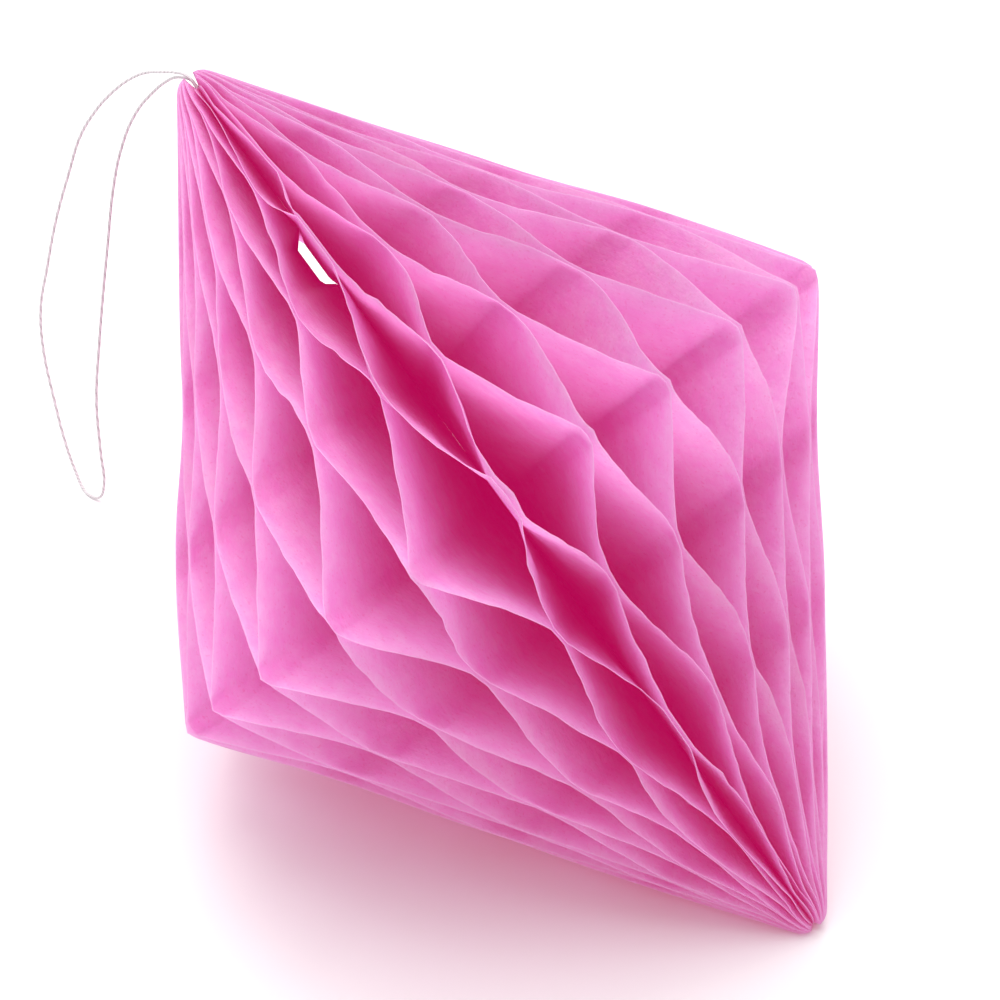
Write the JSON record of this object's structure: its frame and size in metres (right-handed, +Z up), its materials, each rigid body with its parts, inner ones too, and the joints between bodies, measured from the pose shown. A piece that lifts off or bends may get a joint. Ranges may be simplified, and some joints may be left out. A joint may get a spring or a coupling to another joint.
{
  "type": "honeycomb paper diamond",
  "caption": "Hanging paper decoration: tissue sheets glued in staggered rows and fanned into a diamond, with a thread loop at one tip.",
  "frame": {"origin": "on the ground, below the middle of the lying diamond's box", "axes": "+Z up, +X towards the tip that lies on the ground, with the spine in the XZ plane and the raised tip with the thread towards -X; the diamond rests on one face of its lower cone"},
  "size_m": [0.2605, 0.1856, 0.1491],
  "materials": {
    "tissue_paper": "matt, translucent, bright pink",
    "thread": "off-white twisted thread"
  },
  "bodies": {
    "root": {"honeycomb": "tissue_paper", "hanging_thread": "thread"}
  },
  "joints": []
}
